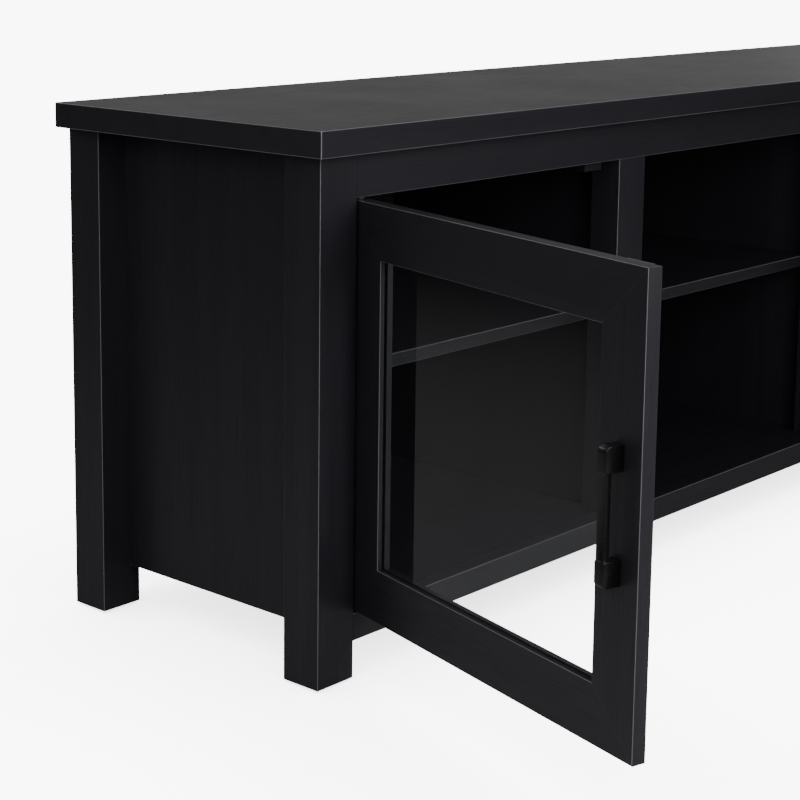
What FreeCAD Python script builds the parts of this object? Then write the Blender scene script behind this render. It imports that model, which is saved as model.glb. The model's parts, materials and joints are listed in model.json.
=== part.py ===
import FreeCAD, Part
import os
import re

import Sketcher

# A low media cabinet with a thick top, four corner posts, three bays and two glazed doors.
# Millimetres, +Z up. The origin is on the floor under the middle of the top: +X runs to the
# right, +Y to the back. The left door stands open and the right one is shut.

SIZES = {
    "width": 1650,
    "depth": 410,
    "height": 590,
    "overhang": 20,
    "top_thick": 28,
    "post_width": 54,
    "post_depth": 50,
    "board": 15,
    "rail_thick": 18,
    "floor_gap": 43,
    "rail_high": 30,
    "apron_high": 47,
    "side_gap": 50,
    "stile_deep": 40,
    "shelf_top": 330,
    "shelf_play": 1,
    "back_thick": 4,
    "back_inset": 10,
    "back_margin": 2,
    "glide_high": 3,
    "glide_radius": 14,
    "arris": 1,
    "top_arris": 1.5,
    "door_gap": 3,
    "door_lift": 2.5,
    "frame_wide": 57,
    "glass_thick": 4,
    "glass_lip": 5,
    "glass_cover": 8,
    "glass_play": 1,
    "open_angle": 105,
    "pivot_in": 7,
    "pivot_back": 6,
    "pin_radius": 2.5,
    "pin_bury": 16,
    "pin_clear": 1,
    "bush_radius": 4,
    "bush_long": 10,
    "bush_flange": 2.2,
    "bush_rim": 5.4,
    "bush_play": 0.05,
    "pull_long": 126,
    "pull_block": 24,
    "pull_wide": 12,
    "pull_out": 20,
    "pull_bar_wide": 9,
    "pull_bar_out": 18.4,
    "pull_bar_thick": 6.4,
    "pull_bend": 6,
    "screw_radius": 2,
    "screw_bite": 9,
    "screw_head": 4,
    "screw_cap": 2.4,
    "dowel_radius": 4,
    "dowel_half": 15,
    "dowel_edge": 12,
    "dowel_step": 17,
    "dowel_end": 45,
    "shelf_pin": 2.5,
    "shelf_pin_in": 7,
    "shelf_pin_out": 8,
    "tack_radius": 1.75,
    "tack_long": 16,
    "tack_head": 3.5,
    "tack_cap": 1.5,
    "tack_inset": 37,
    "cable_hole": 25,
    "cable_low": 110,
    "cable_step": 260,
    "catch_inset": 14,
    "catch_wide": 34,
    "catch_deep": 20,
    "catch_high": 12,
    "catch_plate": 3,
    "catch_tab": 16,
    "strike_high": 11,
    "strike_thick": 1.2,
    "strike_gap": 0.6,
}

FRONT = "(overhang - depth/2)"
BACK = "(depth/2)"
POST_TOP = "(height - top_thick)"
BAY = "((width - 2*overhang - 4*post_width)/3)"
SHELF_REVEAL = "((post_width - board)/2)"
BACK_FACE = "(depth/2 - back_inset - back_thick)"
RAIL_TOP = "(floor_gap + rail_high)"
APRON_BOTTOM = "(height - top_thick - apron_high)"
DOOR_WIDE = f"({BAY} - 2*door_gap)"
DOOR_HIGH = f"({APRON_BOTTOM} - {RAIL_TOP} - 2*door_lift)"
DOOR_BOTTOM = f"({RAIL_TOP} + door_lift)"
PIVOT_Y = f"({FRONT} + pivot_back)"
HOME = ("0", "0", "0", "0")
ROLES = {"x": "YZ_Plane", "y": "XZ_Plane", "z": "XY_Plane"}

doc = FreeCAD.newDocument("media_cabinet")
sheet = doc.addObject("Spreadsheet::Sheet", "Sizes")
for row, (alias, size) in enumerate(SIZES.items(), 1):
    sheet.set(f"A{row}", alias)
    sheet.set(f"B{row}", str(size))
    sheet.setAlias(f"B{row}", alias)
doc.recompute()

ALIASES = re.compile(r"\b(" + "|".join(SIZES) + r")\b")
nodes = []


# ---------------------------------------------------------------- building blocks

def on_sheet(formula):
    """The formula with every size name pointed at its cell."""
    return ALIASES.sub(r"Sizes.\1", str(formula))


def bind(item, prop, formula):
    item.setExpression(prop, on_sheet(formula))


def number(formula):
    """What a formula is worth now, for a sketch's first guess."""
    return float(doc.Sizes.evalExpression(on_sheet(formula)))


def bay_left(count):
    """Left side of an opening, counted from the left: 0, 1 or 2."""
    return f"(overhang - width/2 + post_width + {count}*({BAY} + post_width))"


def new_body(label, frame):
    """An empty body in a frame: its place and its turn about +Z."""
    body = doc.addObject("PartDesign::Body", label)
    body.Label = label
    for axis, formula in zip("xyz", frame):
        bind(body, f"Placement.Base.{axis}", formula)
    bind(body, "Placement.Rotation.Angle", frame[3])
    return body


def new_sketch(body, axis, at):
    """A sketch square to an axis of the body, with its origin at a point in the body's frame."""
    along = {"x": (at[1], at[2], at[0]), "y": (at[0], at[2], f"-({at[1]})"), "z": at}[axis]
    drawing = body.newObject("Sketcher::SketchObject", f"{body.Name}_sketch")
    plane = next(p for p in body.Origin.OriginFeatures if p.Role == ROLES[axis])
    drawing.AttachmentSupport = [(plane, "")]
    drawing.MapMode = "FlatFace"
    for letter, formula in zip("xyz", along):
        bind(drawing, f"AttachmentOffset.Base.{letter}", formula)
    return drawing


def pin_down(drawing, geometry, point, place):
    """Hold a sketch point at a distance right of and above the sketch's origin."""
    for kind, own_axis, formula in (("DistanceX", -2, place[0]), ("DistanceY", -1, place[1])):
        if formula == "0":
            drawing.addConstraint(Sketcher.Constraint("PointOnObject", geometry, point, own_axis))
            continue
        rule = Sketcher.Constraint(kind, -1, 1, geometry, point, number(formula))
        bind(drawing, f"Constraints[{drawing.addConstraint(rule)}]", formula)


def outline(drawing, corners):
    """A closed polygon through the corners."""
    points = [FreeCAD.Vector(number(x), number(y), 0) for x, y in corners]
    first = drawing.GeometryCount
    count = len(points)
    for i in range(count):
        drawing.addGeometry(Part.LineSegment(points[i], points[(i + 1) % count]), False)
    for i in range(count):
        after = first + (i + 1) % count
        drawing.addConstraint(Sketcher.Constraint("Coincident", first + i, 2, after, 1))
        pin_down(drawing, first + i, 1, corners[i])


def ring(drawing, centre, radius):
    """A circle held by its centre and its radius."""
    middle = FreeCAD.Vector(number(centre[0]), number(centre[1]), 0)
    circle = Part.Circle(middle, FreeCAD.Vector(0, 0, 1), number(radius))
    index = drawing.addGeometry(circle, False)
    rule = Sketcher.Constraint("Radius", index, number(radius))
    bind(drawing, f"Constraints[{drawing.addConstraint(rule)}]", radius)
    pin_down(drawing, index, 3, centre)


def rectangle(wide, high, left="0", low="0"):
    right = wide if left == "0" else f"({left} + {wide})"
    top = high if low == "0" else f"({low} + {high})"
    return [(left, low), (right, low), (right, top), (left, top)]


def raise_pad(body, drawing, axis, length):
    """Pad a sketch along the positive way of its axis."""
    feature = body.newObject("PartDesign::Pad", f"{body.Name}_pad")
    feature.Profile = drawing
    bind(feature, "Length", length)
    feature.Reversed = axis == "y"
    return feature


def carve(body, drawing, axis, length):
    """Pocket a sketch along the positive way of its axis."""
    feature = body.newObject("PartDesign::Pocket", f"{body.Name}_pocket")
    feature.Profile = drawing
    bind(feature, "Length", length)
    feature.Reversed = axis != "y"
    return feature


def ease(body, radius, wanted):
    """Round the straight edges that a test picks by their two ends, in the body's frame."""
    doc.recompute()
    solid = body.Tip
    names = []
    for index, edge in enumerate(solid.Shape.Edges, 1):
        ends = [vertex.Point for vertex in edge.Vertexes]
        if len(ends) == 2 and wanted(*ends):
            names.append(f"Edge{index}")
    feature = body.newObject("PartDesign::Fillet", f"{body.Name}_fillet")
    feature.Base = (solid, names)
    bind(feature, "Radius", radius)
    return feature


def runs_along(letters):
    """A test for edges that run along any of the named axes."""
    def wanted(start, end):
        step = end - start
        return any(abs(getattr(step, letter)) > 0.999 * step.Length for letter in letters)
    return wanted


def board(label, corner, size, rounded="", radius="arris"):
    """A plain board: its low corner, its size and the axes along which its edges are eased."""
    body = new_body(label, (*corner, "0"))
    drawing = new_sketch(body, "z", ("0", "0", "0"))
    outline(drawing, rectangle(size[0], size[1]))
    raise_pad(body, drawing, "z", size[2])
    if rounded:
        ease(body, radius, runs_along(rounded))
    return body


def rod(label, frame, start, axis, radius, length):
    """A round bar from a start point along an axis of its frame."""
    body = new_body(label, frame)
    drawing = new_sketch(body, axis, start)
    ring(drawing, ("0", "0"), radius)
    raise_pad(body, drawing, axis, length)
    return body


def group(label, members):
    bundle = doc.addObject("Part::Compound", label)
    bundle.Label = label
    bundle.Links = members
    return bundle


def joined(label, members):
    whole = doc.addObject("Part::MultiFuse", label)
    whole.Label = label
    whole.Shapes = members
    return whole


def cut(label, blank, tool):
    """The blank less a tool, under the piece's own name."""
    piece = doc.addObject("Part::Cut", label)
    piece.Label = label
    piece.Base = blank
    piece.Tool = tool
    return piece


def keep(piece):
    """Hand a finished piece in as a node."""
    nodes.append(piece)
    return piece


# ---------------------------------------------------------------- hidden and small hardware

def headed_screw(label, frame, head_at, radius, long, head, cap):
    """A screw that points to the front, with its head on the back."""
    shank = rod(f"{label}_shank", frame, (head_at[0], f"{head_at[1]} - {long}", head_at[2]),
                "y", radius, long)
    top = rod(f"{label}_head", frame, head_at, "y", head, cap)
    return joined(label, [shank, top])


def dowel_places():
    """Middle and axis of each dowel: rails into posts, panels into posts, posts into the top."""
    places = []
    rail_rises = ("floor_gap + dowel_edge", f"{POST_TOP} - dowel_edge - dowel_step",
                  f"{POST_TOP} - dowel_edge")
    panel_rises = ("side_gap + dowel_end", "(side_gap + height)/2", f"{POST_TOP} - dowel_end")
    for sign in ("-", "+"):
        post_face = f"({sign}1)*(width/2 - overhang - post_width)"
        post_middle = f"({sign}1)*(width/2 - overhang - post_width/2)"
        panel_middle = f"({sign}1)*(width/2 - overhang - post_width + board/2)"
        for place in (f"{FRONT} + rail_thick/2", f"{BACK_FACE} - rail_thick/2"):
            places += [((post_face, place, rise), "x") for rise in rail_rises]
        for place in (f"{FRONT} + post_depth", f"{BACK} - post_depth"):
            places += [((panel_middle, place, rise), "y") for rise in panel_rises]
        for place in (f"{FRONT} + post_depth/2", f"{BACK} - post_depth/2"):
            places.append(((post_middle, place, POST_TOP), "z"))
    for count in (0, 1):
        stile_middle = f"{bay_left(count)} + {BAY} + post_width/2"
        places.append(((stile_middle, f"{FRONT} + rail_thick/2", RAIL_TOP), "z"))
        places.append(((stile_middle, f"{FRONT} + rail_thick/2", APRON_BOTTOM), "z"))
    return places


def make_dowels():
    pegs = []
    for count, (middle, axis) in enumerate(dowel_places()):
        start = [f"{part} - dowel_half" if letter == axis else part
                 for part, letter in zip(middle, "xyz")]
        pegs.append(rod(f"dowel_{count}", HOME, start, axis, "dowel_radius", "2*dowel_half"))
    return keep(group("assembly_dowels", pegs))


def make_shelf_pins():
    """Four pins under each shelf, half in the wood of the panels beside it."""
    height = "shelf_top - board - shelf_pin"
    faces = []
    for count in (0, 1, 2):
        inset = "0" if count == 0 else SHELF_REVEAL
        outset = "0" if count == 2 else SHELF_REVEAL
        faces.append((f"{bay_left(count)} - {inset}", "shelf_pin_in"))
        faces.append((f"{bay_left(count)} + {BAY} + {outset}", "shelf_pin_out"))
    pins = []
    for count, (face, before) in enumerate(faces):
        for row, place in enumerate((f"{FRONT} + 2*stile_deep", f"{BACK_FACE} - stile_deep")):
            start = (f"{face} - {before}", place, height)
            pins.append(rod(f"shelf_pin_{count}_{row}", HOME, start, "x", "shelf_pin",
                            "shelf_pin_in + shelf_pin_out"))
    return keep(group("shelf_pins", pins))


def make_back_screws():
    """Three screws along the top and three along the bottom of each back panel."""
    screws = []
    for count in (0, 1, 2):
        for step, reach in enumerate(("tack_inset", f"{BAY}/2", f"{BAY} - tack_inset")):
            for row, rise in enumerate(("floor_gap + rail_high/2", f"{APRON_BOTTOM} + apron_high/2")):
                at = (f"{bay_left(count)} + {reach}", f"{BACK} - back_inset", rise)
                screws.append(headed_screw(f"back_screw_{count}_{step}_{row}", HOME, at,
                                           "tack_radius", "tack_long", "tack_head", "tack_cap"))
    return keep(group("back_panel_screws", screws))


def pivot_x(side):
    """Where a door's pivot stands: inside the outer edge of its bay."""
    inset = f"({bay_left(0)} + door_gap + pivot_in)"
    return inset if side == "left" else f"(-{inset})"


def make_bushes():
    """A flanged bush over and under each door, bored for its pin."""
    bushes = []
    for side in ("left", "right"):
        for end in ("lower", "upper"):
            low = end == "lower"
            seat = f"{RAIL_TOP} - bush_long" if low else f"{APRON_BOTTOM} - bush_flange"
            rim = RAIL_TOP if low else f"{APRON_BOTTOM} - bush_flange"
            name = f"{side}_{end}_bush"
            stem = rod(f"{name}_stem", HOME, (pivot_x(side), PIVOT_Y, seat), "z",
                       "bush_radius", "bush_long + bush_flange")
            flange = rod(f"{name}_flange", HOME, (pivot_x(side), PIVOT_Y, rim), "z",
                         "bush_rim", "bush_flange")
            bore = rod(f"{name}_bore", HOME, (pivot_x(side), PIVOT_Y, seat), "z",
                       "pin_radius + bush_play", "bush_long + bush_flange")
            bushes.append(cut(name, joined(f"{name}_blank", [stem, flange]), bore))
    return keep(group("pivot_bushes", bushes))


def make_bush_seats():
    """The round seats that the bushes are pressed into, as a cutting tool."""
    seats = []
    for side in ("left", "right"):
        for end, low in (("lower", f"{RAIL_TOP} - bush_long"), ("upper", APRON_BOTTOM)):
            seats.append(rod(f"{side}_{end}_seat", HOME, (pivot_x(side), PIVOT_Y, low), "z",
                             "bush_radius", "bush_long"))
    return group("bush_seats", seats)


def make_glides():
    """A round pad under each post."""
    pads = []
    for sign in ("-", "+"):
        middle = f"({sign}1)*(width/2 - overhang - post_width/2)"
        for row, place in enumerate((f"{FRONT} + post_depth/2", f"{BACK} - post_depth/2")):
            name = "left" if sign == "-" else "right"
            pads.append(rod(f"{name}_glide_{row}", HOME, (middle, place, "0"), "z",
                            "glide_radius", "glide_high"))
    return keep(group("foot_glides", pads))


# ---------------------------------------------------------------- carcass

def make_posts(hardware):
    for side, left in (("left", "overhang - width/2"), ("right", "width/2 - overhang - post_width")):
        for end, near in (("front", FRONT), ("rear", f"{BACK} - post_depth")):
            label = f"{end}_{side}_post"
            blank = board(f"{label}_blank", (left, near, "glide_high"),
                          ("post_width", "post_depth", f"{POST_TOP} - glide_high"), "z")
            keep(cut(label, blank, hardware))


def make_top(hardware):
    blank = board("top_panel_blank", ("-width/2", "-depth/2", POST_TOP),
                  ("width", "depth", "top_thick"), "xyz", "top_arris")
    keep(cut("top_panel", blank, hardware))


def make_rails(hardware):
    """Apron and bottom rail in front, and the two rails that carry the back panels."""
    left = bay_left(0)
    long = f"3*{BAY} + 2*post_width"
    rails = {
        "front_apron": (FRONT, APRON_BOTTOM, "apron_high"),
        "bottom_front_rail": (FRONT, "floor_gap", "rail_high"),
        "rear_top_rail": (f"{BACK_FACE} - rail_thick", APRON_BOTTOM, "apron_high"),
        "rear_bottom_rail": (f"{BACK_FACE} - rail_thick", "floor_gap", "rail_high"),
    }
    for label, (near, low, high) in rails.items():
        blank = board(f"{label}_blank", (left, near, low), (long, "rail_thick", high), "x")
        keep(cut(label, blank, hardware))


def make_panels(hardware):
    """Side panels, bottom and the two dividers with their front stiles."""
    deep = f"{BACK} - {FRONT} - 2*post_depth"
    for side, left in (("left", f"{bay_left(0)} - board"), ("right", f"-({bay_left(0)})")):
        blank = board(f"{side}_side_panel_blank", (left, f"{FRONT} + post_depth", "side_gap"),
                      ("board", deep, f"{POST_TOP} - side_gap"), "y")
        keep(cut(f"{side}_side_panel", blank, hardware))
    keep(board("bottom_panel", (bay_left(0), f"{FRONT} + rail_thick", f"{RAIL_TOP} - board"),
               (f"3*{BAY} + 2*post_width", f"{BACK_FACE} - {FRONT} - 2*rail_thick", "board")))
    for count, side in enumerate(("left", "right")):
        stile_left = f"{bay_left(count)} + {BAY}"
        stile = board(f"{side}_divider_stile_blank", (stile_left, FRONT, RAIL_TOP),
                      ("post_width", "stile_deep", f"{APRON_BOTTOM} - {RAIL_TOP}"), "z")
        keep(cut(f"{side}_divider_stile", stile, hardware))
        keep(cut(f"{side}_divider_panel", divider_blank(side, stile_left), hardware))


def divider_blank(side, stile_left):
    """A divider board, notched at its upper back corner for the rear rail."""
    deep = f"({BACK_FACE} - {FRONT} - stile_deep)"
    high = f"({POST_TOP} - {RAIL_TOP})"
    body = new_body(f"{side}_divider_panel_blank",
                    (f"{stile_left} + {SHELF_REVEAL}", f"{FRONT} + stile_deep", RAIL_TOP, "0"))
    drawing = new_sketch(body, "x", ("0", "0", "0"))
    outline(drawing, [("0", "0"), (deep, "0"), (deep, f"{high} - apron_high"),
                      (f"{deep} - rail_thick", f"{high} - apron_high"),
                      (f"{deep} - rail_thick", high), ("0", high)])
    raise_pad(body, drawing, "x", "board")
    return body


def make_backs(hardware):
    """Three thin back panels that meet behind the dividers, each with its cable holes."""
    low = "floor_gap + back_margin"
    high = f"({POST_TOP} - floor_gap - 2*back_margin)"
    spans = {
        "left": (bay_left(0), f"({BAY} + post_width/2)", f"{BAY}/2", ("cable_low",)),
        "middle": (f"{bay_left(1)} - post_width/2", f"({BAY} + post_width)",
                   f"({BAY} + post_width)/2", ("cable_low", "(cable_low + cable_step)")),
        "right": (f"{bay_left(2)} - post_width/2", f"({BAY} + post_width/2)",
                  f"({BAY} + post_width)/2", ("cable_low",)),
    }
    for place, (left, wide, middle, rises) in spans.items():
        body = new_body(f"{place}_back_panel_blank", (left, BACK_FACE, low, "0"))
        drawing = new_sketch(body, "y", ("0", "0", "0"))
        outline(drawing, rectangle(wide, high))
        raise_pad(body, drawing, "y", "back_thick")
        holes = new_sketch(body, "y", ("0", "0", "0"))
        for rise in rises:
            ring(holes, (middle, rise), "cable_hole")
        carve(body, holes, "y", "back_thick")
        keep(cut(f"{place}_back_panel", body, hardware))


def make_shelves():
    near = f"{FRONT} + stile_deep + shelf_play"
    deep = f"{BACK_FACE} - {FRONT} - stile_deep - 5*shelf_play"
    spans = {
        "left": (bay_left(0), f"{BAY} + {SHELF_REVEAL}"),
        "middle": (f"{bay_left(1)} - {SHELF_REVEAL}", f"{BAY} + 2*{SHELF_REVEAL}"),
        "right": (f"{bay_left(2)} - {SHELF_REVEAL}", f"{BAY} + {SHELF_REVEAL}"),
    }
    for place, (left, wide) in spans.items():
        keep(board(f"{place}_shelf", (f"{left} + shelf_play", near, "shelf_top - board"),
                   (f"{wide} - 2*shelf_play", deep, "board"), "x"))


def make_catches():
    """A magnetic catch on the apron's back, over the free corner of each door."""
    lap = "(rail_thick - board - strike_thick - strike_gap)"
    tab_back = f"({lap} + catch_plate)"
    tab_top = "(catch_high + catch_tab)"
    near = f"{FRONT} + rail_thick - {lap}"
    catches = []
    for side, left in (("left", f"{bay_left(1)} - post_width - catch_inset - catch_wide"),
                       ("right", f"{bay_left(2)} + catch_inset")):
        body = new_body(f"{side}_catch", (left, near, f"{APRON_BOTTOM} - catch_high", "0"))
        drawing = new_sketch(body, "x", ("0", "0", "0"))
        outline(drawing, [("0", "0"), ("catch_deep", "0"), ("catch_deep", "catch_high"),
                          (tab_back, "catch_high"), (tab_back, tab_top), (lap, tab_top),
                          (lap, "catch_high"), ("0", "catch_high")])
        raise_pad(body, drawing, "x", "catch_wide")
        catches.append(body)
    keep(group("door_catches", catches))


# ---------------------------------------------------------------- doors

def door_frame(side):
    """A door's own frame: on its pivot, at its lower edge, turned as far as it stands open."""
    turn = "-open_angle" if side == "left" else "0"
    return (pivot_x(side), PIVOT_Y, DOOR_BOTTOM, turn)


def door_left(side):
    """The door's left edge, measured from its pivot."""
    return "-pivot_in" if side == "left" else f"(pivot_in - {DOOR_WIDE})"


def free_middle(side):
    """The middle of the stile that carries the pull, measured from the pivot."""
    reach = f"({DOOR_WIDE} - pivot_in - frame_wide/2)"
    return reach if side == "left" else f"(-{reach})"


def door_corners(inset):
    """Corners of a rectangle set in from the door's edges, from the lower left."""
    return [(inset, inset), (f"({DOOR_WIDE} - {inset})", inset),
            (f"({DOOR_WIDE} - {inset})", f"({DOOR_HIGH} - {inset})"),
            (inset, f"({DOOR_HIGH} - {inset})")]


def mitred_strip(label, side, count, outer, inner, near, thick):
    """One of four strips round the door, cut at 45 degrees to meet its neighbours."""
    body = new_body(label, door_frame(side))
    drawing = new_sketch(body, "y", (door_left(side), near, "0"))
    rim = [("0", "0"), (DOOR_WIDE, "0"), (DOOR_WIDE, DOOR_HIGH), ("0", DOOR_HIGH)]
    outside = rim if outer == "0" else door_corners(outer)
    inside = door_corners(inner)
    after = (count + 1) % 4
    outline(drawing, [outside[count], outside[after], inside[after], inside[count]])
    raise_pad(body, drawing, "y", thick)
    return body


def front_arrises(axis):
    """A test for the long edges on a door's front face."""
    face = number("-pivot_back")
    along = runs_along(axis)
    return lambda start, end: along(start, end) and abs(start.y - face) < 0.01


def make_frame_members(side, hardware):
    """Rails and stiles with a rebate at the back for the glass."""
    names = ("bottom_rail", "right_stile", "top_rail", "left_stile")
    for count, name in enumerate(names):
        label = f"{side}_door_{name}"
        body = mitred_strip(f"{label}_blank", side, count, "0", "frame_wide", "-pivot_back", "board")
        ease(body, "arris", front_arrises("z" if "stile" in name else "x"))
        seat = new_sketch(body, "y", (door_left(side), "glass_lip - pivot_back", "0"))
        outline(seat, door_corners("(frame_wide - glass_cover)"))
        carve(body, seat, "y", "board - glass_lip")
        keep(cut(label, body, hardware))


def make_glazing(side):
    """The pane in its rebate, and the four beads behind it."""
    pane = new_body(f"{side}_door_glass", door_frame(side))
    drawing = new_sketch(pane, "y", (door_left(side), "glass_lip - pivot_back", "0"))
    outline(drawing, door_corners("(frame_wide - glass_cover + glass_play)"))
    raise_pad(pane, drawing, "y", "glass_thick")
    keep(pane)
    beads = [mitred_strip(f"{side}_bead_{count}", side, count, "(frame_wide - glass_cover)",
                          "frame_wide", "glass_lip + glass_thick - pivot_back",
                          "board - glass_lip - glass_thick")
             for count in range(4)]
    keep(group(f"{side}_door_glass_beads", beads))


def make_pull(side, screws):
    """A bar pull with a block at each end that stands on the door."""
    body = new_body(f"{side}_pull_blank", door_frame(side))
    low = f"({DOOR_HIGH} - pull_long)/2"
    face = "-pivot_back - pull_out"
    bar_left = f"{free_middle(side)} - pull_bar_wide/2"
    bar = new_sketch(body, "x", (bar_left, f"{face} + pull_out - pull_bar_out", low))
    outline(bar, rectangle("pull_bar_thick", "pull_long"))
    raise_pad(body, bar, "x", "pull_bar_wide")
    blocks = new_sketch(body, "x", (f"{free_middle(side)} - pull_wide/2", face, low))
    outline(blocks, rectangle("pull_out", "pull_block"))
    outline(blocks, rectangle("pull_out", "pull_block", low="(pull_long - pull_block)"))
    raise_pad(body, blocks, "x", "pull_wide")
    outermost = number(face)
    ends = (number(low), number(f"{low} + pull_long"))
    across = runs_along("x")
    ease(body, "pull_bend", lambda start, end: across(start, end)
         and abs(start.y - outermost) < 0.01 and min(abs(start.z - z) for z in ends) < 0.01)
    keep(cut(f"{side}_pull", body, screws))


def pull_screws(side):
    """Two screws through the stile into the pull's blocks."""
    screws = []
    for count, rise in enumerate(("pull_block/2", "pull_long - pull_block/2")):
        at = (free_middle(side), "board - pivot_back", f"({DOOR_HIGH} - pull_long)/2 + {rise}")
        screws.append(headed_screw(f"{side}_pull_screw_{count}", door_frame(side), at,
                                   "screw_radius", "board + screw_bite", "screw_head", "screw_cap"))
    return keep(group(f"{side}_pull_screws", screws))


def pivot_pins(side):
    """A steel pin in the top and the bottom edge of the door, on the pivot."""
    reach = "door_lift + bush_long - pin_clear"
    lower = rod(f"{side}_lower_pin", door_frame(side), ("0", "0", f"-({reach})"), "z",
                "pin_radius", f"pin_bury + {reach}")
    upper = rod(f"{side}_upper_pin", door_frame(side), ("0", "0", f"{DOOR_HIGH} - pin_bury"), "z",
                "pin_radius", f"pin_bury + {reach}")
    return keep(group(f"{side}_pivot_pins", [lower, upper]))


def make_strike(side):
    """The steel plate on the door's back that the magnet holds."""
    body = new_body(f"{side}_strike_plate", door_frame(side))
    reach = f"({BAY} - door_gap - pivot_in - catch_inset)"
    left = f"({reach} - catch_wide)" if side == "left" else f"(-{reach})"
    drawing = new_sketch(body, "y", (left, "board - pivot_back", f"{DOOR_HIGH} - strike_high"))
    outline(drawing, rectangle("catch_wide", "strike_high"))
    raise_pad(body, drawing, "y", "strike_thick")
    keep(body)


def make_door(side):
    screws = pull_screws(side)
    pins = pivot_pins(side)
    make_frame_members(side, group(f"{side}_door_hardware", [screws, pins]))
    make_glazing(side)
    make_pull(side, screws)
    make_strike(side)


# ---------------------------------------------------------------- the cabinet

def check_document():
    """Stop if any object failed, cut nothing or has no sound shape."""
    for item in doc.Objects:
        if "Invalid" in item.State or "Error" in item.State:
            raise RuntimeError(f"{item.Label} is in state {item.State}")
        if item.TypeId == "PartDesign::Pocket":
            if item.Shape.Volume > item.BaseFeature.Shape.Volume - 1:
                raise RuntimeError(f"{item.Label} cuts nothing")
    for piece in nodes:
        if piece.Shape.isNull() or not piece.Shape.isValid():
            raise RuntimeError(f"{piece.Label} has no sound shape")


def main():
    fasteners = [make_dowels(), make_shelf_pins(), make_back_screws()]
    make_bushes()
    hardware = group("carcass_hardware", [*fasteners, make_bush_seats()])
    make_top(hardware)
    make_posts(hardware)
    make_rails(hardware)
    make_panels(hardware)
    make_backs(hardware)
    make_shelves()
    make_catches()
    make_glides()
    for side in ("left", "right"):
        make_door(side)
    doc.recompute()
    check_document()
    os.makedirs("parts", exist_ok=True)
    for piece in nodes:
        piece.Shape.exportStep(f"parts/{piece.Label}.step")
    print(len(nodes), "nodes")


main()
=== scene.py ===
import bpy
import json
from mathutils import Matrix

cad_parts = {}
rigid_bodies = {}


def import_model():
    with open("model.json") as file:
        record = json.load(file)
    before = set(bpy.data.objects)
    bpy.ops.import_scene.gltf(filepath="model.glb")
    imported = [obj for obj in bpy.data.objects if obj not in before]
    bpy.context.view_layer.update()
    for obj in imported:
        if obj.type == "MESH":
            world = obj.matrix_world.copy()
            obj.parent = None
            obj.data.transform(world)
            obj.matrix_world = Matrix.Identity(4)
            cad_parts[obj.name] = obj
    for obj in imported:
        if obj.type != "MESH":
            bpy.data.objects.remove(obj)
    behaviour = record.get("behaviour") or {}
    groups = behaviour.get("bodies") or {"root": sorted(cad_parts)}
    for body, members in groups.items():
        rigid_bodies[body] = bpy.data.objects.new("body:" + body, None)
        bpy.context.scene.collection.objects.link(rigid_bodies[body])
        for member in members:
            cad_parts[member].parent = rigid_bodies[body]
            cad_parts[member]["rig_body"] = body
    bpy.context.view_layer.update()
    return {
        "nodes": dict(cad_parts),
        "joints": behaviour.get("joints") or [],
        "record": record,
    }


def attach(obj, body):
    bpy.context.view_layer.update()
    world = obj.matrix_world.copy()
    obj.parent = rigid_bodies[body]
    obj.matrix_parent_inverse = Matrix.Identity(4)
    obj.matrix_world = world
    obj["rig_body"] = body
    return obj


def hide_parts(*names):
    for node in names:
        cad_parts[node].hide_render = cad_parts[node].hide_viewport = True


bl_info = {
    "name": "Media Cabinet",
    "version": (1, 0, 0),
    "blender": (4, 5, 0),
    "location": "3D View > Sidebar > Cabinet",
    "description": "Finishes a black wood-grain media cabinet and sets it in a studio",
    "category": "Object",
}

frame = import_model()

import json
import math
import random

import bmesh
import bpy
from bpy.props import FloatProperty, FloatVectorProperty, IntProperty, PointerProperty
from mathutils import Matrix, Vector

SAME_POINT = 1e-5
FLAT = math.radians(1)
CORNER = math.radians(30)
WHITE = (1.0, 1.0, 1.0, 1.0)
BLACK = (0.0, 0.0, 0.0, 1.0)


# ---------------------------------------------------------------- shader maths

class Wire:
    """A shader value that takes part in sums. Each operation adds one Math node."""

    def __init__(self, paint, socket):
        self.paint = paint
        self.socket = socket

    def maths(self, operation, first, second):
        return self.paint.node("ShaderNodeMath", {"operation": operation}, {0: first, 1: second})

    def __add__(self, value):
        return self.maths("ADD", self, value)

    def __sub__(self, value):
        return self.maths("SUBTRACT", self, value)

    def __rsub__(self, value):
        return self.maths("SUBTRACT", value, self)

    def __mul__(self, value):
        return self.maths("MULTIPLY", self, value)

    __radd__ = __add__
    __rmul__ = __mul__


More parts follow.
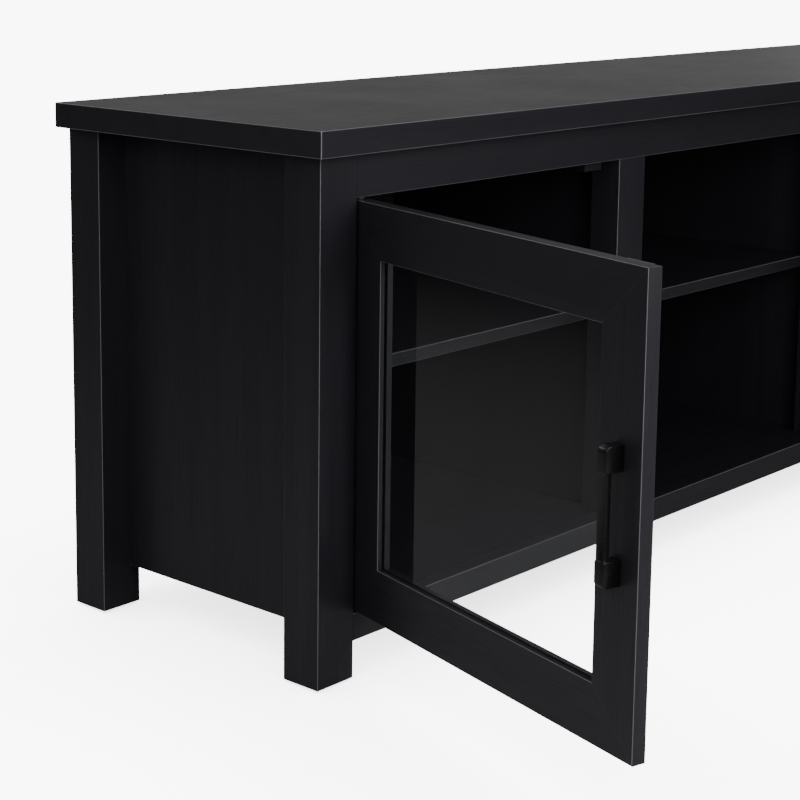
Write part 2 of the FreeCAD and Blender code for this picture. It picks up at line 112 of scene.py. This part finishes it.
class Paint:
    """A node tree that is written as expressions."""

    def __init__(self, owner):
        owner.use_nodes = True
        self.owner = owner
        self.tree = owner.node_tree
        self.tree.nodes.clear()

    def node(self, kind, settings=None, sockets=None, output=0):
        """One node: its settings are set first, then the values or links of its sockets."""
        made = self.tree.nodes.new(kind)
        for name, value in (settings or {}).items():
            setattr(made, name, value)
        for name, value in (sockets or {}).items():
            if isinstance(value, Wire):
                self.tree.links.new(value.socket, made.inputs[name])
            else:
                made.inputs[name].default_value = value
        return Wire(self, made.outputs[output]) if made.outputs else None

    def noise(self, vector, scale=1.0, detail=2.0, roughness=0.5, distortion=0.0):
        return self.node("ShaderNodeTexNoise", None, {
            "Vector": vector, "Scale": scale, "Detail": detail,
            "Roughness": roughness, "Distortion": distortion})

    def smooth(self, value, low, high):
        """0 up to low, 1 from high on and an S curve between them. Low may be the larger one."""
        return self.node("ShaderNodeMapRange", {"interpolation_type": "SMOOTHSTEP"}, {
            "Value": value, "From Min": low, "From Max": high})

    def between(self, share, first, second):
        """A mix of two colours."""
        return self.node("ShaderNodeMix", {"data_type": "RGBA"}, {
            0: share, 6: colour(first), 7: colour(second)}, 2)

    def bump(self, height, distance):
        return self.node("ShaderNodeBump", None, {"Height": height, "Distance": distance})

    def place(self):
        return self.node("ShaderNodeTexCoord", None, None, "Object")

    def surface(self, **sockets):
        """A Principled shader straight into the material's output."""
        named = {name.replace("_", " "): value for name, value in sockets.items()}
        shader = self.node("ShaderNodeBsdfPrincipled", None, named)
        self.node("ShaderNodeOutputMaterial", None, {"Surface": shader})
        return self.owner


def colour(value):
    return value if isinstance(value, Wire) else (*value[:3], 1.0)


def scaled(value, amount):
    """A colour with its light multiplied."""
    return [amount * part for part in value]


def new_paint(name):
    return Paint(bpy.data.materials.new(name))


# ---------------------------------------------------------------- sizes and colours

def shade(name, description, value):
    return FloatVectorProperty(name=name, description=description, default=value,
                               subtype="COLOR", size=3, min=0.0, max=1.0)


def length(name, description, value):
    return FloatProperty(name=name, description=description, default=value,
                         min=0.0, unit="LENGTH", precision=5)


def share(name, description, value):
    return FloatProperty(name=name, description=description, default=value,
                         min=0.0, max=1.0, subtype="FACTOR")


def watts(name, description, value):
    return FloatProperty(name=name, description=description, default=value, min=0.0, unit="POWER")


def angle(name, description, degrees):
    return FloatProperty(name=name, description=description, default=math.radians(degrees),
                         subtype="ANGLE")


class CABINET_PG_wood(bpy.types.PropertyGroup):
    """The black wood-grain finish of the boards, posts and door frames."""
    dark: shade("Pore colour", "Colour at the bottom of the grain's pores", (0.004, 0.004, 0.005))
    body: shade("Wood colour", "Colour of the finish between the pores", (0.0150, 0.0143, 0.0192))
    pale: shade("Rubbed colour", "Colour of the paler bands in the grain", (0.0195, 0.0187, 0.0244))
    # Painted highlight: the arris colour is pale colour on the eased corners that stands in for the
    # light they catch, and the mitre share paints a fainter line of it at a door frame's mitres.
    edge: shade("Painted arris highlight", "Colour where the lacquer is thin on an arris", (0.20, 0.20, 0.22))
    mitre: length("Mitre", "How far a mitre's fine line reaches", 0.0007)
    mitre_highlight: share("Mitre highlight", "How much of the arris colour a mitre's line has", 0.22)
    pore_wide: length("Pore width", "Distance between two pores across the grain", 0.0016)
    pore_long: length("Pore length", "Usual length of a pore along the grain", 0.055)
    pore_deep: length("Pore depth", "How deep the pores are pressed", 0.00004)
    pore_dark: share("Pore shade", "How much darker the pores are", 0.30)
    band_wide: length("Band width", "Width of the paler and darker bands", 0.028)
    band_long: length("Band length", "Length of the paler and darker bands", 0.70)
    gloss: share("Roughness", "Roughness of the satin lacquer", 0.40)
    sheen: share("Reflection", "Specular level of the satin lacquer", 0.40)


class CABINET_PG_hardware(bpy.types.PropertyGroup):
    """Metal, plastic and glass."""
    pull: shade("Pull colour", "Black lacquer of the pulls", (0.0045, 0.0045, 0.0050))
    steel: shade("Steel colour", "Zinc plated steel", (0.56, 0.57, 0.58))
    plastic: shade("Plastic colour", "Black nylon", (0.018, 0.018, 0.019))
    beech: shade("Dowel colour", "Beech of the dowels", (0.55, 0.36, 0.20))
    fibre: shade("Back core", "Raw fibreboard inside the back panels", (0.16, 0.10, 0.055))
    board: shade("Back face", "Black paper face of the back panels", (0.016, 0.016, 0.017))
    glass: shade("Glass tint", "Light that one face of the pane lets through", (0.97, 0.98, 0.975))
    ease: length("Pull edge", "Radius of the pull's eased edges", 0.0008)
    recess: length("Cross recess", "Length of the cross in a screw head", 0.0042)
    back_cap: length("Back screw head", "Height of a back screw's head", 0.0015)
    pull_cap: length("Pull screw head", "Height of a pull screw's head", 0.0024)
    seed: IntProperty(name="Screw turns", description="Picks the way each cross is turned", default=7)
    facets: IntProperty(name="Facets", description="Sides of a round screw head",
                        default=32, min=12, max=96)


class CABINET_PG_stage(bpy.types.PropertyGroup):
    """Camera and studio light."""
    place: FloatVectorProperty(name="Camera place", description="Where the camera stands",
                               default=(-2.166, -1.477, 0.789), subtype="TRANSLATION", size=3)
    heading: angle("Heading", "Way the camera looks, clockwise from +Y", 48.19)
    pitch: angle("Pitch", "How far the camera looks down", 9.38)
    roll: angle("Roll", "Lean of the camera to the left", 0.60)
    lens: FloatProperty(name="Lens", description="Focal length in millimetres", default=85.84)
    shift: FloatVectorProperty(name="Shift", description="Lens shift, as a share of the picture",
                               default=(0.03, -0.2006), size=2)
    paper: FloatProperty(name="Paper", description="Brightness of the white floor and backdrop",
                         default=9.0, min=0.0)
    fill: FloatProperty(name="Fill", description="Brightness of the light from all round",
                        default=0.17, min=0.0)
    floor: share("Floor", "How pale the floor is in the light that it gives back", 0.55)
    key: watts("Key", "Power of the soft light in front of the left end", 14.0)
    front: watts("Front", "Power of the small light in front of the open door", 6.0)
    side: watts("Side", "Power of the soft light on the left", 8.0)
    right: watts("Right", "Power of the soft light on the right side", 8.0)
    rear: watts("Rear", "Power of the soft light on the cabinet's back", 14.0)
    back: watts("Back", "Power of the panel behind, seen in the top", 7.0)


# ---------------------------------------------------------------- finishes

PANE_IOR = 1.5
# Each pair is where a smooth step is 0 and where it is 1.
PORE_STEP = (0.34, 0.50)
BAND_STEP = (0.25, 0.75)
SQUARE_STEP = (0.80, 0.97)
CORNER_STEP = (0.02, 0.20)
BOARD_STEP = (0.3, 0.7)
FLECK_STEP = (0.62, 0.7)
WEAR_STEP = (0.45, 0.7)
DULL_STEP = (0.4, 0.7)
HAZE_STEP = (0.45, 0.9)


def own_frame(name):
    """Where the axes of a node's body start and how far they are turned: a door's are on its pivot."""
    for joint in frame["joints"]:
        if joint["child"] == frame["nodes"][name]["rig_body"]:
            low, high = joint["range_deg"]
            shut = high if joint["name"].startswith("left") else low
            return Matrix.Translation(joint["pos_m"]) @ Matrix.Rotation(-math.radians(shut), 4, "Z")
    return Matrix.Identity(4)


def grain_along(name):
    """Which of its own axes a board's grain follows."""
    upright = ("post", "stile", "side_panel", "divider")
    return "z" if any(word in name for word in upright) else "x"


def own_place(paint, name):
    """Object coordinates along the axes of the node's own body."""
    origin, turn, _ = own_frame(name).decompose()
    return paint.node("ShaderNodeMapping", {"vector_type": "TEXTURE"}, {
        "Vector": paint.place(), "Location": origin, "Rotation": turn.to_euler()})


def stretch(paint, vector, along, wide, long, step):
    """Coordinates in which a noise is long one way and narrow the two others."""
    scale = (1 / long, 1 / wide, 1 / wide) if along == "x" else (1 / wide, 1 / wide, 1 / long)
    return paint.node("ShaderNodeMapping", None, {
        "Vector": vector, "Scale": scale, "Location": (step, 7.3 * step, 3.1 * step)})


def own_normal(paint, name):
    """How far each face points along the three axes of the node's own body, without signs."""
    normal = paint.node("ShaderNodeNewGeometry", None, None, "True Normal")
    fixed = paint.node("ShaderNodeVectorTransform", {
        "vector_type": "NORMAL", "convert_from": "WORLD", "convert_to": "OBJECT"}, {"Vector": normal})
    own = paint.node("ShaderNodeMapping", {"vector_type": "TEXTURE"}, {
        "Vector": fixed, "Rotation": own_frame(name).to_euler()})
    size = paint.node("ShaderNodeVectorMath", {"operation": "ABSOLUTE"}, {0: own})
    return [paint.node("ShaderNodeSeparateXYZ", None, {"Vector": size}, axis) for axis in "XYZ"]


def on_arris(paint, name):
    """1 on the eased corners, whose faces point between two of the body's axes, and 0 elsewhere."""
    parts = own_normal(paint, name)
    widest = paint.node("ShaderNodeMath", {"operation": "MAXIMUM"}, {0: parts[0], 1: parts[1]})
    widest = paint.node("ShaderNodeMath", {"operation": "MAXIMUM"}, {0: widest, 1: parts[2]})
    return 1.0 - paint.smooth(widest, *SQUARE_STEP)


def at_corner(paint, radius):
    """1 close to any sharp corner of the solid, where a door frame's mitres get a fine line of painted
    highlight.
    """
    flat = paint.node("ShaderNodeNewGeometry", None, None, "True Normal")
    bent = paint.node("ShaderNodeBevel", {"samples": 4}, {"Radius": radius})
    turned = paint.node("ShaderNodeVectorMath", {"operation": "DOT_PRODUCT"},
                        {0: flat, 1: bent}, "Value")
    return paint.smooth(1.0 - turned, *CORNER_STEP)


def wood(name, number):
    """Black lacquered wood: pores and fibres stretched along the grain, with paler bands and a painted
    highlight on the arrises.
    """
    look = bpy.context.scene.cabinet_wood
    paint = new_paint(f"{name}_wood")
    local = own_place(paint, name)
    along = grain_along(name)
    bands = paint.noise(stretch(paint, local, along, look.band_wide, look.band_long, 3.1 * number),
                        detail=3.0, distortion=0.6)
    pores = paint.noise(stretch(paint, local, along, look.pore_wide, look.pore_long, 5.7 * number),
                        detail=2.0, roughness=0.6)
    fibres = paint.noise(stretch(paint, local, along, look.pore_wide / 4, look.pore_long / 3,
                                 1.9 * number), detail=1.0)
    smudges = paint.noise(local, scale=7.0, detail=2.0)
    open_pores = 1.0 - paint.smooth(pores, *PORE_STEP)
    band = paint.smooth(bands, *BAND_STEP)
    base = paint.between(band, look.body, look.pale)
    base = paint.between(open_pores * look.pore_dark, base, look.dark)
    # Painted highlight: the arrises, and on door frames a fainter line at each sharp mitre corner, take
    # the pale arris colour in place of the light they would catch.
    painted_highlight = on_arris(paint, name)
    if "door" in name:
        painted_highlight = painted_highlight + at_corner(paint, look.mitre) * look.mitre_highlight
    base = paint.between(painted_highlight, base, look.edge)
    height = fibres * 0.25 - open_pores + band * 0.1
    rough = look.gloss + open_pores * 0.06 + (smudges - 0.5) * 0.08 + (fibres - 0.5) * 0.05
    return paint.surface(Base_Color=base, Roughness=rough, Specular_IOR_Level=look.sheen,
                         Normal=paint.bump(height, look.pore_deep))


def back_board(name, number):
    """Thin fibreboard with a black paper face, and its raw core at every cut edge."""
    look = bpy.context.scene.cabinet_hardware
    paint = new_paint(f"{name}_board")
    local = paint.place()
    core = 1.0 - paint.smooth(own_normal(paint, name)[1], *BOARD_STEP)
    specks = paint.noise(local, scale=900.0, detail=2.0)
    clouds = paint.noise(local, scale=11.0 + number, detail=3.0)
    paper = paint.between(clouds, look.board, scaled(look.board, 0.7))
    base = paint.between(core, paper, paint.between(specks, look.fibre, scaled(look.fibre, 0.5)))
    return paint.surface(Base_Color=base, Roughness=0.62 + specks * 0.12 + core * 0.2,
                         Specular_IOR_Level=0.3, Normal=paint.bump(specks, 0.00001))


def beech(name, number):
    """Plain beech with its short dark flecks."""
    look = bpy.context.scene.cabinet_hardware
    paint = new_paint(f"{name}_beech")
    local = own_place(paint, name)
    grain = paint.noise(stretch(paint, local, "x", wide=0.0012, long=0.02, step=number), detail=3.0)
    dashes = paint.noise(stretch(paint, local, "x", wide=0.0005, long=0.003, step=2.0))
    flecks = paint.smooth(dashes, *FLECK_STEP)
    base = paint.between(grain, look.beech, scaled(look.beech, 0.72))
    base = paint.between(flecks * 0.6, base, scaled(look.beech, 0.4))
    return paint.surface(Base_Color=base, Roughness=0.6 + grain * 0.1,
                         Normal=paint.bump(grain, 0.0001))


def lacquered_metal(name, number):
    """Metal under black satin lacquer, a little smoother and paler in patches of wear."""
    look = bpy.context.scene.cabinet_hardware
    paint = new_paint(f"{name}_lacquer")
    local = own_place(paint, name)
    peel = paint.noise(local, scale=1400.0, detail=1.0)
    wear = paint.smooth(paint.noise(local, scale=40.0 + number, detail=3.0), *WEAR_STEP)
    base = paint.between(wear, look.pull, scaled(look.pull, 1.5))
    return paint.surface(Base_Color=base, Roughness=0.30 - wear * 0.06 + (peel - 0.5) * 0.05,
                         Specular_IOR_Level=0.35, Normal=paint.bump(peel, 0.00001))


def steel(name, number):
    """Zinc plated steel with a drawn grain and dull patches."""
    look = bpy.context.scene.cabinet_hardware
    paint = new_paint(f"{name}_steel")
    local = own_place(paint, name)
    drawn = paint.noise(stretch(paint, local, "z", wide=0.0003, long=0.01, step=number), detail=2.0)
    dull = paint.smooth(paint.noise(local, scale=160.0, detail=3.0), *DULL_STEP)
    base = paint.between(dull, look.steel, scaled(look.steel, 0.75))
    return paint.surface(Base_Color=base, Metallic=1.0, Roughness=0.26 + dull * 0.16 + drawn * 0.06,
                         Normal=paint.bump(drawn, 0.00002))


def nylon(name, number):
    """Moulded black nylon with a fine spark-eroded skin."""
    look = bpy.context.scene.cabinet_hardware
    paint = new_paint(f"{name}_nylon")
    local = own_place(paint, name)
    skin = paint.noise(local, scale=2600.0, detail=1.0)
    flow = paint.noise(local, scale=60.0 + number, detail=2.0, distortion=1.0)
    base = paint.between(flow, look.plastic, scaled(look.plastic, 0.7))
    return paint.surface(Base_Color=base, Roughness=0.5 + (skin - 0.5) * 0.2,
                         Specular_IOR_Level=0.35, Normal=paint.bump(skin, 0.00003))


def glass(name, number):
    """A clear pane: what is behind it, under a reflection that grows to the edge of sight."""
    look = bpy.context.scene.cabinet_hardware
    paint = new_paint(f"{name}_pane")
    local = own_place(paint, name)
    haze = paint.smooth(paint.noise(local, scale=5.0 + number, detail=4.0), *HAZE_STEP)
    behind = paint.node("ShaderNodeNewGeometry", None, None, "Backfacing")
    mirror = paint.node("ShaderNodeFresnel", None, {"IOR": PANE_IOR}) * (1.0 - behind)
    clear = paint.node("ShaderNodeBsdfTransparent", None, {"Color": colour(look.glass)})
    shine = paint.node("ShaderNodeBsdfPrincipled", None, {
        "Base Color": WHITE, "Metallic": 1.0, "Roughness": haze * 0.04 + 0.01})
    pane = paint.node("ShaderNodeMixShader", None, {0: mirror, 1: clear, 2: shine})
    paint.node("ShaderNodeOutputMaterial", None, {"Surface": pane})
    return paint.owner


FINISHES = {
    "black_wood": wood,
    "black_board": back_board,
    "beech": beech,
    "clear_glass": glass,
    "black_metal": lacquered_metal,
    "steel": steel,
    "black_plastic": nylon,
}


def slot_of(name):
    """The record's material slot of a CAD node."""
    for part in frame["record"]["subparts"]:
        if part["node"] == name:
            return part["material_slot"]
    raise RuntimeError(f"{name} has no material slot")


def finish_nodes(*slots):
    """Gives every CAD node of these slots a material of its own."""
    names = [name for name in sorted(frame["nodes"]) if slot_of(name) in slots]
    if not names:
        raise RuntimeError(f"no node has a slot among {slots}")
    for number, name in enumerate(names, 1):
        node = frame["nodes"][name]
        node.data.materials.clear()
        node.data.materials.append(FINISHES[slot_of(name)](name, number))


# ---------------------------------------------------------------- pieces

def settle(form, name, node, material):
    """Turns a form into a finished piece that stands for a CAD node."""
    mesh = bpy.data.meshes.new(name)
    bmesh.ops.recalc_face_normals(form, faces=form.faces)
    form.to_mesh(mesh)
    form.free()
    mesh.polygons.foreach_set("use_smooth", [True] * len(mesh.polygons))
    mesh.set_sharp_from_angle(angle=CORNER)
    mesh.materials.append(material)
    piece = bpy.data.objects.new(name, mesh)
    bpy.context.scene.collection.objects.link(piece)
    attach(piece, frame["nodes"][node]["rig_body"])
    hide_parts(node)
    return piece


def merged_copy(name):
    """A CAD node's mesh with its doubles merged and its flats made whole."""
    form = bmesh.new()
    form.from_mesh(frame["nodes"][name].data)
    bmesh.ops.remove_doubles(form, verts=form.verts, dist=SAME_POINT)
    bmesh.ops.dissolve_limit(form, angle_limit=FLAT, verts=form.verts, edges=form.edges)
    return form


def ease_corners(form, radius):
    """Rounds every edge that is sharper than a corner."""
    sharp = [edge for edge in form.edges if edge.is_manifold and edge.calc_face_angle() > CORNER]
    bmesh.ops.bevel(form, geom=sharp, offset=radius, offset_type="OFFSET", segments=3,
                    profile=0.5, affect="EDGES", clamp_overlap=True, material=-1)


def solids_of(name):
    """Low and high corner of each separate solid of a CAD node, along its body's own axes."""
    form = merged_copy(name)
    form.transform(own_frame(name).inverted())
    left = set(form.verts)
    boxes = []
    while left:
        solid, front = set(), [left.pop()]
        while front:
            vertex = front.pop()
            solid.add(vertex)
            near = {edge.other_vert(vertex) for edge in vertex.link_edges} & left
            left -= near
            front.extend(near)
        boxes.append([Vector(pick(v.co[axis] for v in solid) for axis in range(3))
                      for pick in (min, max)])
    form.free()
    return sorted(boxes, key=lambda box: tuple(box[0]))


# Parts of a screw as shares of the size that they belong to.
RECESS_DEEP = 0.8
RECESS_FLOOR = 0.7
DOME = 0.35
HEAD_EASE = 0.25
STRAIGHT = 0.9
TIP = 0.2
# A direction along which no two points, edges or faces of a screw are level.
SLANT = Vector((1.0, 0.37, 0.11))


def along_slant(part):
    """How far the middle of a point, edge or face lies along the slant."""
    points = [part] if isinstance(part, bmesh.types.BMVert) else part.verts
    return sum(point.co.dot(SLANT) for point in points) / len(points)


def screw_mesh(look, head, cap, shank, long):
    """A cross-recess screw along -Z, with the underside of its head on the origin."""
    form = bmesh.new()
    bmesh.ops.create_circle(form, cap_ends=True, segments=look.facets, radius=head)
    arm = look.recess / 2
    for way in (Vector((1.0, 0.0, 0.0)), Vector((0.0, 1.0, 0.0))):
        for reach in (-arm, -arm / 4, arm / 4, arm):
            whole = [*form.verts, *form.edges, *form.faces]
            bmesh.ops.bisect_plane(form, geom=whole, plane_co=way * reach, plane_no=way)
    cross = [face for face in form.faces if in_cross(face.calc_center_median(), arm)]
    sunk = bmesh.ops.extrude_face_region(form, geom=cross)
    floor = [item for item in sunk["geom"] if isinstance(item, bmesh.types.BMVert)]
    bmesh.ops.translate(form, verts=floor, vec=(0.0, 0.0, -cap * RECESS_DEEP))
    bmesh.ops.scale(form, verts=floor, vec=(RECESS_FLOOR, RECESS_FLOOR, 1.0))
    for vertex in form.verts:
        vertex.co.z += cap * (1.0 - DOME * (vertex.co.xy.length / head) ** 2)
    rim = [edge for edge in form.edges if edge.is_boundary]
    top = list(rim)
    steps = ((head, 0.0), (shank, 0.0), (shank, -STRAIGHT * long), (shank * TIP, -long))
    for radius, depth in steps:
        made = bmesh.ops.extrude_edge_only(form, edges=rim)
        ring = [item for item in made["geom"] if isinstance(item, bmesh.types.BMVert)]
        rim = [item for item in made["geom"] if isinstance(item, bmesh.types.BMEdge)
               and item.is_boundary]
        for vertex in ring:
            flat = vertex.co.xy.normalized() * radius
            vertex.co = (flat.x, flat.y, depth)
    bmesh.ops.contextual_create(form, geom=rim)
    bmesh.ops.bevel(form, geom=top, offset=cap * HEAD_EASE, segments=3, profile=0.5,
                    affect="EDGES", material=-1)
    # Extruding gives its new parts in another order each run, so their order is set here.
    for parts in (form.verts, form.edges, form.faces):
        parts.sort(key=along_slant)
    mesh = bpy.data.meshes.new("screw")
    form.to_mesh(mesh)
    form.free()
    return mesh


def in_cross(point, arm):
    near, far = sorted((abs(point.x), abs(point.y)))
    return near < arm / 4 and far < arm


def finish_screws(name, look, cap, turns):
    """Detailed screws in the places of a node's plain ones, each head turned its own way."""
    form = bmesh.new()
    for low, high in solids_of(name):
        middle = (low + high) / 2
        head = (high.x - low.x) / 2
        screw = screw_mesh(look, head, cap, head / 2, high.y - low.y - cap)
        place = own_frame(name) @ Matrix.Translation((middle.x, high.y - cap, middle.z))
        spin = Matrix.Rotation(turns.uniform(0.0, math.pi), 4, "Z")
        screw.transform(place @ Matrix.Rotation(-math.pi / 2, 4, "X") @ spin)
        form.from_mesh(screw)
        bpy.data.meshes.remove(screw)
    settle(form, f"{name}_crossed", name, steel(name, 1))


class CABINET_OT_wood(bpy.types.Operator):
    """Finish every board, post, rail and stile, each with its own stretch of grain"""
    bl_idname = "cabinet.wood"
    bl_label = "Wood"

    def execute(self, context):
        finish_nodes("black_wood", "beech")
        return {"FINISHED"}


class CABINET_OT_backs(bpy.types.Operator):
    """Finish the back panels"""
    bl_idname = "cabinet.backs"
    bl_label = "Backs"

    def execute(self, context):
        finish_nodes("black_board")
        return {"FINISHED"}


class CABINET_OT_glass(bpy.types.Operator):
    """Finish the door panes"""
    bl_idname = "cabinet.glass"
    bl_label = "Glass"

    def execute(self, context):
        finish_nodes("clear_glass")
        return {"FINISHED"}


class CABINET_OT_fittings(bpy.types.Operator):
    """Finish pins, bushes, catches, strikes and glides"""
    bl_idname = "cabinet.fittings"
    bl_label = "Fittings"

    def execute(self, context):
        finish_nodes("steel", "black_plastic")
        return {"FINISHED"}


class CABINET_OT_pulls(bpy.types.Operator):
    """Ease the edges of the bar pulls and lacquer them"""
    bl_idname = "cabinet.pulls"
    bl_label = "Pulls"

    def execute(self, context):
        look = context.scene.cabinet_hardware
        for number, side in enumerate(("left", "right"), 1):
            form = merged_copy(f"{side}_pull")
            ease_corners(form, look.ease)
            settle(form, f"{side}_bar_pull", f"{side}_pull", lacquered_metal(f"{side}_pull", number))
        return {"FINISHED"}


class CABINET_OT_screws(bpy.types.Operator):
    """Put cross-recess screws in the backs and behind the pulls"""
    bl_idname = "cabinet.screws"
    bl_label = "Screws"

    def execute(self, context):
        look = context.scene.cabinet_hardware
        turns = random.Random(look.seed)
        finish_screws("back_panel_screws", look, look.back_cap, turns)
        for side in ("left", "right"):
            finish_screws(f"{side}_pull_screws", look, look.pull_cap, turns)
        return {"FINISHED"}


# The name that a light's power has among the stage's values, its place, the point that it
# faces, and its width and height.
LIGHTS = (
    ("key", (-1.1, -1.9, 1.2), (-0.7, -0.2, 0.4), (1.7, 1.3)),
    ("front", (-0.75, -1.35, 0.85), (-0.8, -0.4, 0.35), (0.7, 0.6)),
    ("side", (-2.4, -0.5, 1.2), (-0.8, 0.0, 0.3), (1.0, 0.8)),
    ("right", (2.7, 0.3, 1.2), (0.8, 0.0, 0.3), (1.4, 1.0)),
    ("rear", (-1.2, 2.8, 2.3), (0.0, 0.2, 0.3), (1.6, 1.2)),
    ("back", (2.9, 3.2, 1.0), (0.0, 0.0, 0.5), (4.4, 1.4)),
)
FLOOR_REACH = 20.0
# The floor gives back less light beyond the first distance, and all of it within the second.
FLOOR_STEP = (2.9, 1.3)
FLOOR_FAR = 0.10
# How far the painted shadow round the feet reaches on the paper, and the most that it darkens the paper
# there.
CONTACT_REACH = 0.35
CONTACT_SHADE = 0.7


class CABINET_OT_stage(bpy.types.Operator):
    """Set the camera, the floor and the studio lights"""
    bl_idname = "cabinet.stage"
    bl_label = "Stage"

    def execute(self, context):
        look = context.scene.cabinet_stage
        set_camera(context.scene, look)
        set_world(context.scene, look)
        make_floor(look)
        for name, place, aim, size in LIGHTS:
            add_light(name, place, aim, size, getattr(look, name))
        return {"FINISHED"}


def set_camera(scene, look):
    """The camera that the scene is seen through."""
    data = bpy.data.cameras.new("camera")
    data.lens = look.lens
    data.shift_x, data.shift_y = look.shift
    camera = bpy.data.objects.new("camera", data)
    turn = Matrix.Rotation(-look.heading, 4, "Z") @ Matrix.Rotation(math.pi / 2 - look.pitch, 4, "X")
    camera.matrix_world = (Matrix.Translation(look.place) @ turn
                           @ Matrix.Rotation(look.roll, 4, "Z"))
    scene.collection.objects.link(camera)
    scene.camera = camera


def seen_or_lit(paint, seen, lit):
    """One shader for what the camera sees and another for the light that it gives."""
    path = paint.node("ShaderNodeLightPath", None, None, "Is Camera Ray")
    return paint.node("ShaderNodeMixShader", None, {0: path, 1: lit, 2: seen})


def set_world(scene, look):
    """A white backdrop that lights the cabinet only softly."""
    scene.world = bpy.data.worlds.new("studio")
    paint = Paint(scene.world)
    seen = paint.node("ShaderNodeBackground", None, {"Color": WHITE, "Strength": look.paper})
    lit = paint.node("ShaderNodeBackground", None, {"Color": WHITE, "Strength": look.fill})
    paint.node("ShaderNodeOutputWorld", None, {"Surface": seen_or_lit(paint, seen, lit)})


def make_floor(look):
    """White paper with a painted shadow round the feet, that gives back less light farther out."""
    mesh = bpy.data.meshes.new("floor")
    form = bmesh.new()
    bmesh.ops.create_grid(form, x_segments=1, y_segments=1, size=FLOOR_REACH)
    form.to_mesh(mesh)
    form.free()
    floor = bpy.data.objects.new("floor", mesh)
    bpy.context.scene.collection.objects.link(floor)
    paint = new_paint("floor_paper")
    # Painted shadow: the paper's glow is darkened near the cabinet by ambient occlusion, not by the
    # lights.
    painted_contact_shadow = paint.node("ShaderNodeAmbientOcclusion", {"samples": 8}, {"Distance": CONTACT_REACH}, "AO")
    seen = paint.node("ShaderNodeBsdfPrincipled", None, {
        "Base Color": BLACK, "Specular IOR Level": 0.0,
        "Emission Color": painted_contact_shadow * CONTACT_SHADE + (1.0 - CONTACT_SHADE),
        "Emission Strength": look.paper})
    away = paint.node("ShaderNodeVectorMath", {"operation": "LENGTH"}, {0: paint.place()}, "Value")
    near = paint.smooth(away, *FLOOR_STEP)
    pale = [look.floor] * 3
    lit = paint.node("ShaderNodeBsdfPrincipled", None, {
        "Base Color": paint.between(near, scaled(pale, FLOOR_FAR), pale),
        "Roughness": 1.0, "Specular IOR Level": 0.0})
    paint.node("ShaderNodeOutputMaterial", None, {"Surface": seen_or_lit(paint, seen, lit)})
    mesh.materials.append(paint.owner)


def add_light(name, place, aim, size, power):
    """A soft rectangular light at one place, pointing at another."""
    data = bpy.data.lights.new(name, "AREA")
    data.shape = "RECTANGLE"
    data.size, data.size_y = size
    data.energy = power
    light = bpy.data.objects.new(name, data)
    back = Vector(place) - Vector(aim)
    light.matrix_world = Matrix.Translation(place) @ back.to_track_quat("Z", "Y").to_matrix().to_4x4()
    bpy.context.scene.collection.objects.link(light)


class CABINET_PT_panel(bpy.types.Panel):
    """Sizes, colours and pieces of the cabinet"""
    bl_idname = "CABINET_PT_panel"
    bl_label = "Media Cabinet"
    bl_space_type = "VIEW_3D"
    bl_region_type = "UI"
    bl_category = "Cabinet"

    def draw(self, context):
        for operator in OPERATORS:
            self.layout.operator(operator.bl_idname)
        for group in GROUPS:
            values = getattr(context.scene, group)
            box = self.layout.box()
            for name in type(values).__annotations__:
                box.prop(values, name)


GROUPS = {
    "cabinet_wood": CABINET_PG_wood,
    "cabinet_hardware": CABINET_PG_hardware,
    "cabinet_stage": CABINET_PG_stage,
}
OPERATORS = (CABINET_OT_wood, CABINET_OT_backs, CABINET_OT_glass, CABINET_OT_fittings,
             CABINET_OT_pulls, CABINET_OT_screws, CABINET_OT_stage)


def register():
    for kind in (*GROUPS.values(), *OPERATORS, CABINET_PT_panel):
        bpy.utils.register_class(kind)
    for name, kind in GROUPS.items():
        setattr(bpy.types.Scene, name, PointerProperty(type=kind))


def unregister():
    for name in GROUPS:
        delattr(bpy.types.Scene, name)
    for kind in (CABINET_PT_panel, *reversed(OPERATORS), *reversed(GROUPS.values())):
        bpy.utils.unregister_class(kind)


def main():
    register()
    bpy.ops.cabinet.wood()
    bpy.ops.cabinet.backs()
    bpy.ops.cabinet.glass()
    bpy.ops.cabinet.fittings()
    bpy.ops.cabinet.pulls()
    bpy.ops.cabinet.screws()
    bpy.ops.cabinet.stage()


if __name__ == "__main__":
    main()
